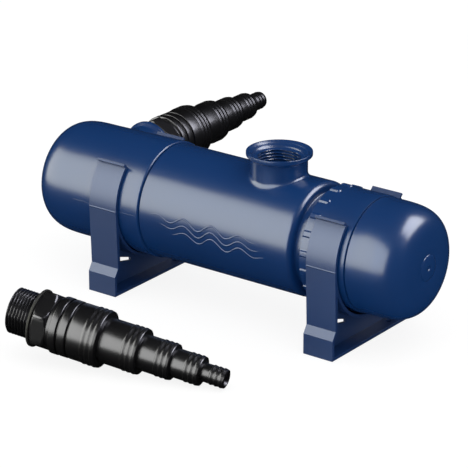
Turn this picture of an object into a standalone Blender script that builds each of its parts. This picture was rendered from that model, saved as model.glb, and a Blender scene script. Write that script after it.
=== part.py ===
"""UV clarifier: a tube housing on two clip brackets, with a removable lamp head and two hose adapters.

The housing's axis runs along X.  Sizes below are in millimetres, scaled to metres where meshes are made.
Stations called ..._X are distances along the housing from the middle between the two brackets.
"""
import math

import bmesh
import bpy
from mathutils import Matrix, Vector

MM = 0.001

# Row frame: the middle of the whole set lies over the origin, and the floor is z = 0.
SET_MID_X = -7.45
SET_MID_Y = 19.3634
AXIS_Z = 65.3

# Housing tube
TUBE_R = 42.0
BORE_R = 38.6
NECK_BORE_R = 36.2
SPIGOT_R = 39.3
TUBE_LEFT_X = -65.8
CAP_SPIGOT_R = 39.6
CAP_SPIGOT_END_X = -92.0
LIP_X = 66.2
LIP_ROUND = 4.0
RELIEF_R = 34.8
RELIEF_BORE_R = 32.2
RELIEF_END_X = 75.2
HEAD_SPIGOT_END_X = 98.0
SEAL_SLOT_X = -80.0
SEAL_SLOT_HALF = 1.3
SEAL_SLOT_DEPTH = 1.9

# Outlet port on top of the tube (1 inch pipe thread)
PORT_X = 27.9
PORT_TOP_Z = 123.6
PORT_NECK_R = 20.2
PORT_FOOT_R = 21.4
PORT_RIM_R = 23.65
PORT_RIM_T = 2.8
PORT_MOUTH_R = 22.6
PORT_FUNNEL = 4.6
THREAD_R = 16.9
THREAD_ROOT_R = 15.5
THREAD_PITCH = 2.309
PORT_THREADS = 5

# Inlet cap
CAP_OPEN_X = -66.2
CAP_RIM_R = 43.5
CAP_RIM_ROUND = 1.3
CAP_SHOULDER_X = -130.5
CAP_SHOULDER_R = 42.3
CAP_DOME = 37.5
CAP_DOME_POWER = 4.1
CAP_SOCKET_R = 39.9
CAP_WALL = 3.2
INLET_X = -148.0
INLET_FACE_Y = 76.0
INLET_NECK_R = 18.8
INLET_RIM_R = 21.5
INLET_BORE_R = 16.9

# Lamp head: collar, bulkhead and domed cover
COLLAR_X = (74.8, 111.9)
COLLAR_BORE_R = 39.7
RIB_COUNT = 19
RIB_PHASE_DEG = 15.7
RIB_SIZE = (8.8, 4.4, 1.9)
RIB_PROUD = 1.0
FLANGE_X = (98.6, 103.8)
COVER_X = 112.4
COVER_SHOULDER_X = 114.0
COVER_SHOULDER_R = 41.4
COVER_DOME = 40.0
COVER_DOME_POWER = 4.3
COVER_WALL = 3.0
COVER_SPIGOT_R = 36.0
BUTTON_R = 9.5
GLAND_X = 122.0
GLAND_SEAT_Y = 42.0
GLAND_PAD_R = 9.3
GLAND_HEX_R = 10.0

# Sleeve and lamp
SLEEVE_R = 18.0
SLEEVE_WALL = 1.6
SLEEVE_X = (-118.0, 97.0)
LAMP_TUBE_R = 6.2
LAMP_PITCH = 15.0
LAMP_X = (-110.0, 94.0)
BASE_X = (94.3, 116.0)
SOCKET_X = (104.4, 126.0)
SOCKET_SCREW_Y = 23.0
LAMP_PIN_Y = 7.5

# Clip brackets
BRACKET_X = 95.9
BRACKET_W = 24.6
CLIP_R = 43.8
CLIP_WALL = 2.2
FOOT_Y = 48.1
FOOT_TOP_Z = 15.2
LEG_FOOT_Y = 44.45
LEG_FOOT_Z = 21.0
BRACKET_WALL = 2.4
CLIP_OPEN_DEG = 48.0
LIP_OUT = 2.8
SCREW_HOLE_R = 2.3
SCREW_HOLE_Y = 30.0
SCREW_HOLE_OFFSET = 6.6
WEB_T = 2.4
WEB_SLOT = ((15.5, 15.8), (28.0, 18.5), (28.0, 22.3), (15.5, 18.2))

# Stepped hose adapter, thread end at 0
ADAPTER_LENGTH = 161.0
ADAPTER_THREAD_R = 16.3
ADAPTER_THREAD_LENGTH = 18.0
GASKET_T = 2.0
HEX_Z = (20.6, 32.0)
HEX_CORNER_R = 22.0
RINGS = ((35.0, 40.4, 20.4), (41.8, 47.8, 20.2))
STEPS = ((49.0, 70.5, 20.1), (70.5, 99.0, 16.1), (99.0, 122.5, 12.7), (122.5, 143.5, 10.2),
         (143.5, ADAPTER_LENGTH, 6.6))
STEP_BORES = (13.6, 12.2, 9.4, 7.2, 4.6)
BARBS_PER_STEP = 3
BARB_PITCH = 3.7
BARB_RISE = 0.5
ADAPTER_SEAT_Y = INLET_FACE_Y + GASKET_T + 0.6

# Loose adapter: where it lies on the floor, by the centres of its two ends
LOOSE_THREAD_END = (-78.0, -164.5, 31.6)
LOOSE_TIP = (76.5, -127.5, 7.6)

SEGMENTS = 36
PORT_SEGMENTS = 24
SMALL_SEGMENTS = 16

ALONG_X = Matrix.Rotation(math.pi / 2, 4, "Y")
ALONG_Y = Matrix.Rotation(-math.pi / 2, 4, "X")
UPRIGHT = Matrix.Identity(4)


def clear_scene():
    for obj in list(bpy.data.objects):
        bpy.data.objects.remove(obj, do_unlink=True)


def new_collection(name):
    collection = bpy.data.collections.new(name)
    bpy.context.scene.collection.children.link(collection)
    return collection


def make_material(name, color, roughness, alpha=1.0, metallic=0.0):
    material = bpy.data.materials.new(name)
    material.use_nodes = True
    shader = material.node_tree.nodes["Principled BSDF"]
    shader.inputs["Base Color"].default_value = (*color, 1.0)
    shader.inputs["Roughness"].default_value = roughness
    shader.inputs["Metallic"].default_value = metallic
    shader.inputs["Alpha"].default_value = alpha
    return material


def place(x, y, z, turn=UPRIGHT):
    """World matrix of a piece at station (x, y, z), in millimetres, turned by the matrix turn."""
    spot = Vector((x - SET_MID_X, y - SET_MID_Y, z)) * MM
    return Matrix.Translation(spot) @ turn


ON_AXIS = place(0.0, 0.0, AXIS_Z, ALONG_X)


def add_object(name, mesh, matrix, material):
    """Link a mesh as a part, or as a hidden cutter when it has no material."""
    obj = bpy.data.objects.new(name, mesh)
    obj.matrix_world = matrix
    if material is None:
        obj.hide_render = True
        obj.display_type = "WIRE"
        cutters.objects.link(obj)
    else:
        mesh.materials.append(material)
        parts.objects.link(obj)
    return obj


def lathe(name, profile, matrix, material=None, steps=SEGMENTS):
    """Turn (radius, station) points about local Z; a profile that starts off the axis becomes a ring."""
    points = [(radius * MM, 0.0, station * MM) for radius, station in profile]
    edges = [(i, i + 1) for i in range(len(points) - 1)]
    if profile[0][0] > 0.0:
        edges.append((len(points) - 1, 0))
    mesh = bpy.data.meshes.new(name)
    mesh.from_pydata(points, edges, [])
    obj = add_object(name, mesh, matrix, material)
    screw = obj.modifiers.new("Turn", "SCREW")
    screw.axis = "Z"
    screw.steps = steps
    screw.render_steps = steps
    screw.use_merge_vertices = True
    screw.merge_threshold = 0.00001
    screw.use_smooth_shade = True
    weld = obj.modifiers.new("Close", "WELD")
    weld.merge_threshold = 0.00001
    return obj


def box(name, low, high, matrix, material=None):
    """A box between two corners given in millimetres in the piece's own frame."""
    size = [(b - a) * MM for a, b in zip(low, high)]
    middle = [(a + b) / 2 * MM for a, b in zip(low, high)]
    shape = bmesh.new()
    bmesh.ops.create_cube(shape, size=1.0)
    bmesh.ops.scale(shape, vec=size, verts=shape.verts)
    bmesh.ops.translate(shape, vec=middle, verts=shape.verts)
    mesh = bpy.data.meshes.new(name)
    shape.to_mesh(mesh)
    shape.free()
    return add_object(name, mesh, matrix, material)


def rod(name, radius, start, end, matrix, material=None, sides=SMALL_SEGMENTS):
    """A cylinder or a regular prism about local Z between two stations."""
    shape = bmesh.new()
    bmesh.ops.create_cone(shape, cap_ends=True, segments=sides, radius1=radius * MM, radius2=radius * MM,
                          depth=(end - start) * MM)
    bmesh.ops.translate(shape, vec=(0.0, 0.0, (start + end) / 2 * MM), verts=shape.verts)
    mesh = bpy.data.meshes.new(name)
    shape.to_mesh(mesh)
    shape.free()
    return add_object(name, mesh, matrix, material)


def plate(name, outline, thickness, matrix, material=None, holes=()):
    """A flat outline in local XY, extruded evenly about its own plane along local Z."""
    curve = bpy.data.curves.new(name, "CURVE")
    curve.dimensions = "2D"
    curve.fill_mode = "BOTH"
    curve.extrude = thickness / 2 * MM
    for loop in (outline, *holes):
        spline = curve.splines.new("POLY")
        spline.points.add(len(loop) - 1)
        for point, (x, y) in zip(spline.points, loop):
            point.co = (x * MM, y * MM, 0.0, 1.0)
        spline.use_cyclic_u = True
    guide = bpy.data.objects.new(name + "_outline", curve)
    bpy.context.scene.collection.objects.link(guide)
    bpy.context.view_layer.update()
    mesh = bpy.data.meshes.new_from_object(guide.evaluated_get(bpy.context.evaluated_depsgraph_get()))
    bpy.data.objects.remove(guide, do_unlink=True)
    shape = bmesh.new()
    shape.from_mesh(mesh)
    bmesh.ops.remove_doubles(shape, verts=shape.verts, dist=0.000001)
    bmesh.ops.recalc_face_normals(shape, faces=shape.faces)
    shape.to_mesh(mesh)
    shape.free()
    return add_object(name, mesh, matrix, material)


def combine(obj, tool, operation):
    modifier = obj.modifiers.new(operation.title(), "BOOLEAN")
    modifier.operation = operation
    modifier.solver = "EXACT"
    modifier.object = tool


def arc(centre, radius, start_deg, end_deg, count):
    """Points on a circle, count steps from start to end."""
    angles = [math.radians(start_deg + (end_deg - start_deg) * i / max(count, 1)) for i in range(count + 1)]
    return [(centre[0] + radius * math.cos(a), centre[1] + radius * math.sin(a)) for a in angles]


def dome(shoulder, depth, radius, power, count, side):
    """(radius, station) points of a rounded end that starts at its shoulder and closes at the axis."""
    points = []
    for i in range(1, count + 1):
        turn = math.pi / 2 * i / count
        across = radius * math.cos(turn) ** (2 / power) if i < count else 0.0
        points.append((across, shoulder + side * depth * math.sin(turn) ** (2 / power)))
    return points


def ring_profile(centre_r, station, section_r, count=5):
    """A round section, listed clockwise for the lathe."""
    return arc((centre_r, station), section_r, 90, 90 - 360 * (count - 1) / count, count - 1)


# ---- Housing ----

def tube_outside():
    """(radius, station) from the head end, over the relief and the lip, to the spigot in the inlet cap."""
    points = [(0.0, HEAD_SPIGOT_END_X), (SPIGOT_R - 0.8, HEAD_SPIGOT_END_X)]
    points += [(SPIGOT_R, HEAD_SPIGOT_END_X - 0.8), (SPIGOT_R, RELIEF_END_X + 0.6)]
    points += [(RELIEF_R, RELIEF_END_X), (RELIEF_R, LIP_X)]
    points += arc((TUBE_R - LIP_ROUND, LIP_X - LIP_ROUND), LIP_ROUND, 90, 0, 4)
    points += [(TUBE_R, TUBE_LEFT_X + 0.6), (TUBE_R - 0.6, TUBE_LEFT_X), (CAP_SPIGOT_R, TUBE_LEFT_X)]
    slot_right = SEAL_SLOT_X + SEAL_SLOT_HALF
    slot_left = SEAL_SLOT_X - SEAL_SLOT_HALF
    slot_r = CAP_SPIGOT_R - SEAL_SLOT_DEPTH
    points += [(CAP_SPIGOT_R, slot_right), (slot_r, slot_right)]
    points += [(slot_r, slot_left), (CAP_SPIGOT_R, slot_left)]
    points += [(CAP_SPIGOT_R, CAP_SPIGOT_END_X), (0.0, CAP_SPIGOT_END_X)]
    return points


def port_inside():
    """(radius, height) of the outlet's funnel mouth, its thread rings and the bore into the tube."""
    thread_top = PORT_TOP_Z - PORT_FUNNEL
    points = [(0.0, PORT_TOP_Z + 5.0), (PORT_MOUTH_R, PORT_TOP_Z + 5.0), (PORT_MOUTH_R, PORT_TOP_Z - 0.4)]
    for turn in range(PORT_THREADS):
        station = thread_top - turn * THREAD_PITCH
        points += [(THREAD_R, station), (THREAD_ROOT_R, station - THREAD_PITCH / 2)]
    points += [(THREAD_R, thread_top - PORT_THREADS * THREAD_PITCH), (THREAD_R, AXIS_Z + 20.0)]
    points.append((0.0, AXIS_Z + 20.0))
    return points


def build_main_tube(material):
    tube = lathe("main_tube", tube_outside(), ON_AXIS, material)
    neck_foot = AXIS_Z + 28.0
    neck = [(0.0, PORT_TOP_Z), (PORT_RIM_R - 0.3, PORT_TOP_Z), (PORT_RIM_R, PORT_TOP_Z - 0.3),
            (PORT_RIM_R, PORT_TOP_Z - PORT_RIM_T), (PORT_NECK_R, PORT_TOP_Z - PORT_RIM_T - 2.6),
            (PORT_NECK_R, AXIS_Z + TUBE_R + 1.4), (PORT_FOOT_R, AXIS_Z + TUBE_R - 0.6),
            (PORT_FOOT_R, neck_foot), (0.0, neck_foot)]
    port_axis = place(PORT_X, 0, 0)
    combine(tube, lathe("tool_port_neck", neck, port_axis, steps=PORT_SEGMENTS), "UNION")
    bore = [(0.0, 120.0), (NECK_BORE_R, 120.0), (NECK_BORE_R, RELIEF_END_X + 2.6),
            (RELIEF_BORE_R, RELIEF_END_X + 1.8), (RELIEF_BORE_R, LIP_X - 2.2), (BORE_R, LIP_X - 5.2),
            (BORE_R, -58.0), (NECK_BORE_R, -61.0), (NECK_BORE_R, -120.0), (0.0, -120.0)]
    combine(tube, lathe("cut_tube_bore", bore, ON_AXIS), "DIFFERENCE")
    combine(tube, lathe("cut_port_bore", port_inside(), port_axis, steps=PORT_SEGMENTS), "DIFFERENCE")


def build_inlet_cap(material):
    outer = [(0.0, CAP_OPEN_X)]
    outer += arc((CAP_RIM_R - CAP_RIM_ROUND, CAP_OPEN_X - CAP_RIM_ROUND), CAP_RIM_ROUND, 90, 0, 3)
    outer.append((CAP_SHOULDER_R, CAP_SHOULDER_X))
    outer += dome(CAP_SHOULDER_X, CAP_DOME, CAP_SHOULDER_R, CAP_DOME_POWER, 9, -1)
    cap = lathe("inlet_end_cap", outer, ON_AXIS, material)
    neck = [(0.0, INLET_FACE_Y), (INLET_RIM_R - 0.5, INLET_FACE_Y), (INLET_RIM_R, INLET_FACE_Y - 0.5),
            (INLET_RIM_R, INLET_FACE_Y - 2.8), (INLET_NECK_R, INLET_FACE_Y - 5.0), (INLET_NECK_R, 18.0),
            (0.0, 18.0)]
    inlet_axis = place(INLET_X, 0.0, AXIS_Z, ALONG_Y)
    combine(cap, lathe("tool_inlet_neck", neck, inlet_axis, steps=PORT_SEGMENTS), "UNION")
    inner_r = CAP_SHOULDER_R - CAP_WALL - 1.0
    inner = [(0.0, -60.0), (CAP_SOCKET_R, -60.0), (CAP_SOCKET_R, CAP_SPIGOT_END_X - 0.4),
             (inner_r, CAP_SPIGOT_END_X - 0.4), (inner_r, CAP_SHOULDER_X)]
    inner += dome(CAP_SHOULDER_X, CAP_DOME - CAP_WALL, inner_r, CAP_DOME_POWER, 6, -1)
    combine(cap, lathe("cut_cap_inside", inner, ON_AXIS), "DIFFERENCE")
    bore = [(0.0, 90.0), (INLET_BORE_R + 1.2, 90.0), (INLET_BORE_R + 1.2, INLET_FACE_Y - 0.6),
            (INLET_BORE_R, INLET_FACE_Y - 2.0), (INLET_BORE_R, 55.0), (15.0, 53.0), (15.0, 10.0),
            (0.0, 10.0)]
    combine(cap, lathe("cut_inlet_bore", bore, inlet_axis, steps=PORT_SEGMENTS), "DIFFERENCE")


def build_sleeve_support(material):
    """A three-armed spider that carries the far end of the sleeve in the tube."""
    ring = [(21.0, -48.0), (21.0, -53.0), (SLEEVE_R + 0.4, -53.0), (SLEEVE_R + 0.4, -48.0)]
    spider = lathe("sleeve_support", ring, ON_AXIS, material, steps=24)
    for arm in range(3):
        turn = Matrix.Rotation(math.radians(120 * arm + 60), 4, "X")
        bar = box(f"tool_spider_arm_{arm}", (-53.0, -2.0, 20.0), (-48.0, 2.0, BORE_R - 0.4),
                  place(0, 0, AXIS_Z, turn))
        combine(spider, bar, "UNION")


# ---- Lamp head ----

def collar_ribs():
    """Grip ribs around the collar's left edge, sunk into its wall so that they stand a little proud."""
    length, width, height = RIB_SIZE
    middle_r = TUBE_R + RIB_PROUD - height / 2
    middle_x = COLLAR_X[0] + 0.4 + length / 2
    ribs = bmesh.new()
    for rib in range(RIB_COUNT):
        angle = math.radians(RIB_PHASE_DEG + 360 * rib / RIB_COUNT)
        made = bmesh.ops.create_cube(ribs, size=1.0)["verts"]
        bmesh.ops.scale(ribs, vec=(height * MM, width * MM, length * MM), verts=made)
        bmesh.ops.translate(ribs, vec=(middle_r * MM, 0.0, middle_x * MM), verts=made)
        bmesh.ops.rotate(ribs, matrix=Matrix.Rotation(angle, 3, "Z"), verts=made)
    mesh = bpy.data.meshes.new("tool_collar_ribs")
    ribs.to_mesh(mesh)
    ribs.free()
    return add_object("tool_collar_ribs", mesh, ON_AXIS, None)


def build_collar(material):
    start, end = COLLAR_X
    step_x = FLANGE_X[1] + 0.4
    inner_r = COVER_SPIGOT_R + 0.4
    profile = [(TUBE_R - 0.6, end), (TUBE_R, end - 0.6), (TUBE_R, start + 0.6), (TUBE_R - 0.6, start),
               (COLLAR_BORE_R, start), (COLLAR_BORE_R, step_x), (inner_r, step_x), (inner_r, end)]
    collar = lathe("locking_collar", profile, ON_AXIS, material)
    combine(collar, collar_ribs(), "UNION")


def build_bulkhead(material):
    profile = [(SPIGOT_R, FLANGE_X[1]), (SPIGOT_R, FLANGE_X[0]), (NECK_BORE_R - 0.4, FLANGE_X[0]),
               (NECK_BORE_R - 0.4, 95.0), (33.4, 95.0), (33.4, 91.0), (NECK_BORE_R - 0.4, 91.0),
               (NECK_BORE_R - 0.4, 86.0), (23.5, 86.0), (23.5, 78.0), (SLEEVE_R + 0.4, 78.0),
               (SLEEVE_R + 0.4, SLEEVE_X[1] + 0.4), (16.6, SLEEVE_X[1] + 0.4), (16.6, FLANGE_X[1])]
    bulkhead = lathe("head_bulkhead", profile, ON_AXIS, material, steps=SEGMENTS)
    for index, side in enumerate((-1, 1)):
        screw_axis = place(0, side * SOCKET_SCREW_Y, AXIS_Z, ALONG_X)
        combine(bulkhead, rod(f"cut_screw_hole_{index}", 2.0, 98.9, 112.0, screw_axis), "DIFFERENCE")


def build_cover(material):
    dome_end = COVER_SHOULDER_X + COVER_DOME
    front = dome(COVER_SHOULDER_X, COVER_DOME, COVER_SHOULDER_R, COVER_DOME_POWER, 9, 1)[:-1]
    outer = [(0.0, dome_end), (1.4, dome_end + 0.1), (2.2, dome_end + 0.6), (BUTTON_R - 0.5, dome_end + 0.6),
             (BUTTON_R, dome_end)]
    outer += [point for point in reversed(front) if point[0] > BUTTON_R + 2.0]
    outer += [(COVER_SHOULDER_R, COVER_SHOULDER_X), (TUBE_R - 0.1, COVER_X + 0.6), (TUBE_R - 0.7, COVER_X),
              (COVER_SPIGOT_R, COVER_X), (COVER_SPIGOT_R, FLANGE_X[1] + 0.5), (0.0, FLANGE_X[1] + 0.5)]
    cover = lathe("lamp_head_cover", outer, ON_AXIS, material)
    gland_axis = place(GLAND_X, GLAND_SEAT_Y, AXIS_Z, ALONG_Y)
    combine(cover, rod("tool_gland_pad", GLAND_PAD_R, -8.5, 0.0, gland_axis, sides=32), "UNION")
    inner_r = COVER_SPIGOT_R - COVER_WALL
    dome_r = COVER_SHOULDER_R - COVER_WALL
    wide_x = COVER_SHOULDER_X + 4.0
    inner = [(0.0, dome_end - COVER_WALL)]
    inner += reversed(dome(wide_x, dome_end - COVER_WALL - wide_x, dome_r, 3.6, 6, 1)[:-1])
    inner += [(dome_r, wide_x), (inner_r, COVER_SHOULDER_X), (inner_r, 90.0), (0.0, 90.0)]
    combine(cover, lathe("cut_cover_inside", inner, ON_AXIS), "DIFFERENCE")
    combine(cover, rod("cut_gland_hole", 6.4, -22.0, 18.0, gland_axis), "DIFFERENCE")


def build_sleeve(glass):
    closed, mouth = SLEEVE_X
    inside = SLEEVE_R - SLEEVE_WALL
    centre = (0.0, closed + SLEEVE_R)
    outer = [(0.0, mouth), (SLEEVE_R, mouth)] + arc(centre, SLEEVE_R, 0, -90, 6)
    sleeve = lathe("quartz_sleeve", outer, ON_AXIS, glass, steps=24)
    bore = [(0.0, mouth + 5.0), (inside, mouth + 5.0)] + arc(centre, inside, 0, -90, 6)
    combine(sleeve, lathe("cut_sleeve_inside", bore, ON_AXIS, steps=24), "DIFFERENCE")


def build_lamp(glass, plastic):
    start, end = LAMP_X
    tube_profile = [(0.0, end), (LAMP_TUBE_R, end), (LAMP_TUBE_R, start + 3.0), (LAMP_TUBE_R - 2.4, start),
                    (0.0, start)]
    sides = [place(0, side * LAMP_PITCH / 2, AXIS_Z, ALONG_X) for side in (-1, 1)]
    lamp = lathe("uv_lamp", tube_profile, sides[0], glass, steps=SMALL_SEGMENTS)
    combine(lamp, lathe("tool_lamp_leg", tube_profile, sides[1], steps=SMALL_SEGMENTS), "UNION")
    bridge = rod("tool_lamp_bridge", 2.2, -LAMP_PITCH / 2, LAMP_PITCH / 2,
                 place(start + 9.0, 0, AXIS_Z, ALONG_Y), sides=16)
    combine(lamp, bridge, "UNION")
    base = box("lamp_base", (BASE_X[0], -14.0, -6.8), (BASE_X[1], 14.0, 6.8), place(0, 0, AXIS_Z), plastic)
    for index, side in enumerate((-1, 1)):
        pin = rod(f"tool_lamp_pin_{index}", 1.1, BASE_X[1] - 1.0, BASE_X[1] + 6.0,
                  place(0, side * LAMP_PIN_Y, AXIS_Z, ALONG_X), sides=12)
        combine(base, pin, "UNION")


def build_socket(plastic, steel):
    start, end = SOCKET_X
    axis = place(0, 0, AXIS_Z)
    socket = box("lamp_socket", (start, -18.0, -11.0), (end, 18.0, 11.0), axis, plastic)
    combine(socket, box("tool_socket_ears", (start, -27.0, -6.0), (start + 3.0, 27.0, 6.0), axis), "UNION")
    pocket = box("cut_socket_pocket", (start - 2.0, -14.5, -7.3), (BASE_X[1] + 0.4, 14.5, 7.3), axis)
    combine(socket, pocket, "DIFFERENCE")
    for index, side in enumerate((-1, 1)):
        pin_axis = place(0, side * LAMP_PIN_Y, AXIS_Z, ALONG_X)
        pin_hole = rod(f"cut_pin_hole_{index}", 1.5, 115.0, 123.0, pin_axis, sides=12)
        combine(socket, pin_hole, "DIFFERENCE")
        screw_axis = place(0, side * SOCKET_SCREW_Y, AXIS_Z, ALONG_X)
        ear_hole = rod(f"cut_ear_hole_{index}", 2.0, 100.0, 112.0, screw_axis)
        combine(socket, ear_hole, "DIFFERENCE")
        top = start + 3.3
        screw = [(0.0, top + 2.4), (2.4, top + 2.4), (3.4, top + 1.2), (3.4, top), (1.6, top), (1.6, 99.4),
                 (0.0, 99.4)]
        lathe(f"socket_screw_{index + 1}", screw, screw_axis, steel, steps=16)


def build_electrics(potting, plastic, metal):
    axis = place(0, 0, AXIS_Z)
    tray = box("ballast_tray", (104.4, -15.0, -22.6), (145.0, 15.0, -20.6), axis, metal)
    combine(tray, box("tool_tray_tab", (104.4, -15.0, -28.0), (106.4, 15.0, -20.7), axis), "UNION")
    box("ballast", (128.0, -18.0, -20.2), (145.0, 18.0, -2.0), axis, potting)
    terminal = box("terminal_block", (129.0, -13.0, -1.7), (140.0, 13.0, 8.5), axis, plastic)
    for index in range(3):
        spot = place(134.5, (index - 1) * 8.0, AXIS_Z)
        well = rod(f"cut_terminal_well_{index}", 1.9, 3.0, 12.0, spot, sides=12)
        combine(terminal, well, "DIFFERENCE")


def build_gland(plastic, rubber):
    """Body, seal and dome nut of the cable gland, by their stations outwards from its seat on the cover."""
    axis = place(GLAND_X, GLAND_SEAT_Y, AXIS_Z, ALONG_Y)
    body_profile = [(7.4, 14.0), (7.4, 5.3), (6.0, 5.3), (6.0, -8.0), (4.2, -8.0), (4.2, 9.0), (5.2, 9.0),
                    (5.2, 14.0)]
    body = lathe("cable_gland_body", body_profile, axis, plastic, steps=SMALL_SEGMENTS)
    wrench_ring = rod("tool_gland_hex", GLAND_HEX_R, 0.3, 5.6, axis, sides=6)
    combine(wrench_ring, rod("cut_gland_hex_bore", 5.0, -5.0, 9.0, axis), "DIFFERENCE")
    combine(body, wrench_ring, "UNION")
    seal = [(5.0, 15.4), (5.0, 9.4), (3.4, 9.4), (3.4, 15.4)]
    lathe("cable_gland_seal", seal, axis, rubber, steps=SMALL_SEGMENTS)
    nut = [(0.0, 19.0), (5.6, 19.0), (8.6, 16.0), (8.8, 6.2), (0.0, 6.2)]
    dome_nut = lathe("cable_gland_nut", nut, axis, plastic, steps=SMALL_SEGMENTS)
    inside = [(0.0, 21.0), (3.6, 21.0), (3.6, 16.0), (7.8, 16.0), (7.8, 3.0), (0.0, 3.0)]
    combine(dome_nut, lathe("cut_gland_nut", inside, axis, steps=SMALL_SEGMENTS), "DIFFERENCE")


def build_seals(rubber):
    """The cap's O-ring, the head's O-ring and the sleeve's O-ring."""
    lathe("cap_seal_ring", ring_profile(SPIGOT_R - 0.55, SEAL_SLOT_X, 0.9), ON_AXIS, rubber)
    lathe("head_seal_ring", ring_profile(34.85, 93.0, 1.1), ON_AXIS, rubber)
    lathe("sleeve_seal_ring", ring_profile(19.7, 76.5, 1.2), ON_AXIS, rubber, steps=24)


def build_sleeve_nut(material):
    clear_r = SLEEVE_R + 0.4
    profile = [(26.5, 84.0), (26.5, 73.0), (clear_r, 73.0), (clear_r, 75.0), (23.9, 75.0), (23.9, 84.0)]
    lathe("sleeve_nut", profile, ON_AXIS, material, steps=24)


# ---- Brackets ----

def mirrored_loop(half):
    """Close a half outline, which starts on one side and ends on the middle line, with its mirror image."""
    return half + [(-y, z) for y, z in reversed(half[:-1])]


def bracket_outline():
    """The clip's profile: feet, kicked-out legs, sprung arms with turned-out tips, and the saddle."""
    centre = (0.0, AXIS_Z)
    clip_out = CLIP_R + CLIP_WALL
    arm_end = 90.0 - CLIP_OPEN_DEG
    tip_end = arm_end + 2.2
    tip_r = clip_out + LIP_OUT
    half = [(FOOT_Y, 0.0), (FOOT_Y, FOOT_TOP_Z), (LEG_FOOT_Y, LEG_FOOT_Z)]
    half += arc(centre, clip_out, 0.0, arm_end, 6)
    half += arc(centre, tip_r, arm_end, tip_end, 1) + arc(centre, CLIP_R, tip_end, tip_end, 0)
    half += arc(centre, CLIP_R, arm_end, -90.0, 18)
    return mirrored_loop(half)


def bracket_window():
    """The opening between the saddle, the legs and the foot plate."""
    clip_out = CLIP_R + CLIP_WALL
    leg_in = LEG_FOOT_Y - BRACKET_WALL
    reach = math.degrees(math.acos((leg_in + 0.2) / clip_out))
    half = [(FOOT_Y - BRACKET_WALL, BRACKET_WALL), (FOOT_Y - BRACKET_WALL, FOOT_TOP_Z - 0.8),
            (leg_in, LEG_FOOT_Z - 0.6)]
    half += arc((0.0, AXIS_Z), clip_out, -reach, -90.0, 9)
    return mirrored_loop(half)


def bracket_web():
    """The upright web at mid width, between the foot plate and the saddle."""
    foot_y = FOOT_Y - 1.0
    knee = [(-LEG_FOOT_Y + 1.2, LEG_FOOT_Z), (-foot_y, FOOT_TOP_Z - 0.4)]
    loop = [(-foot_y, 1.2), (foot_y, 1.2)] + [(-y, z) for y, z in reversed(knee)]
    return loop + arc((0.0, AXIS_Z), CLIP_R + 1.0, -18.0, -162.0, 20) + knee


def build_bracket(name, x, material):
    """A clip bracket, with a slotted web and two screw holes set diagonally in its foot plate."""
    stand = Matrix.Rotation(math.pi / 2, 4, "Z") @ Matrix.Rotation(math.pi / 2, 4, "X")
    at = place(x, 0, 0, stand)
    bracket = plate(name, bracket_outline(), BRACKET_W, at, material, holes=[bracket_window()])
    slots = [[(side * y, z) for y, z in WEB_SLOT] for side in (-1, 1)]
    combine(bracket, plate(f"tool_{name}_web", bracket_web(), WEB_T, at, holes=slots), "UNION")
    for index, side in enumerate((-1, 1)):
        spot = place(x + side * SCREW_HOLE_OFFSET, side * SCREW_HOLE_Y, 0)
        hole = rod(f"cut_{name}_hole_{index}", SCREW_HOLE_R, -2.0, BRACKET_WALL + 2.0, spot)
        combine(bracket, hole, "DIFFERENCE")


# ---- Hose adapters ----

def adapter_outer():
    """(radius, station) of the adapter's outside from the thread end to the tip."""
    points = [(0.0, 0.0), (ADAPTER_THREAD_R - 1.0, 0.0), (ADAPTER_THREAD_R, 1.2),
              (ADAPTER_THREAD_R, ADAPTER_THREAD_LENGTH), (15.2, ADAPTER_THREAD_LENGTH + 0.4),
              (15.2, HEX_Z[0]), (18.4, HEX_Z[0]), (18.4, RINGS[0][0])]
    for start, end, radius in RINGS:
        points += [(radius, start), (radius, end), (18.6, end + 0.2)]
        points.append((18.6, RINGS[1][0] - 0.2 if end < RINGS[1][0] else STEPS[0][0]))
    for start, end, radius in STEPS:
        points.append((radius, start))
        for barb in range(BARBS_PER_STEP):
            foot = end - (BARBS_PER_STEP - barb) * BARB_PITCH
            points += [(radius, foot), (radius + BARB_RISE, foot + 0.5)]
            if barb == BARBS_PER_STEP - 1:
                points.append((radius, end))
    points.append((0.0, STEPS[-1][1]))
    return list(reversed(points))


def build_adapter(name, matrix, material):
    adapter = lathe(name, adapter_outer(), matrix, material, steps=SMALL_SEGMENTS)
    shape = rod(f"tool_{name}_hex", HEX_CORNER_R, HEX_Z[0], HEX_Z[1], matrix, sides=6)
    combine(adapter, shape, "UNION")
    bore = [(STEP_BORES[0], -3.0)]
    for index, (start, end, _) in enumerate(STEPS):
        bore.append((STEP_BORES[index], end - 4.0 if index < len(STEPS) - 1 else end + 3.0))
        if index < len(STEPS) - 1:
            bore.append((STEP_BORES[index + 1], end))
    bore = [(0.0, bore[-1][1])] + list(reversed(bore)) + [(0.0, -3.0)]
    combine(adapter, lathe(f"cut_{name}_bore", bore, matrix, steps=SMALL_SEGMENTS), "DIFFERENCE")


def build_gasket(name, matrix, material):
    low = ADAPTER_THREAD_LENGTH + 0.5
    profile = [(20.6, low + GASKET_T - 0.3), (20.6, low), (16.0, low), (16.0, low + GASKET_T - 0.3)]
    lathe(name, profile, matrix, material, steps=SMALL_SEGMENTS)


def loose_matrix():
    """The loose adapter's frame: its thread end at the origin and its tip along local Z."""
    start = Vector(LOOSE_THREAD_END)
    along = (Vector(LOOSE_TIP) - start).normalized()
    return place(*start, along.to_track_quat("Z", "Y").to_matrix().to_4x4())


clear_scene()
parts = new_collection("uv_clarifier")
cutters = new_collection("cutters")

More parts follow.
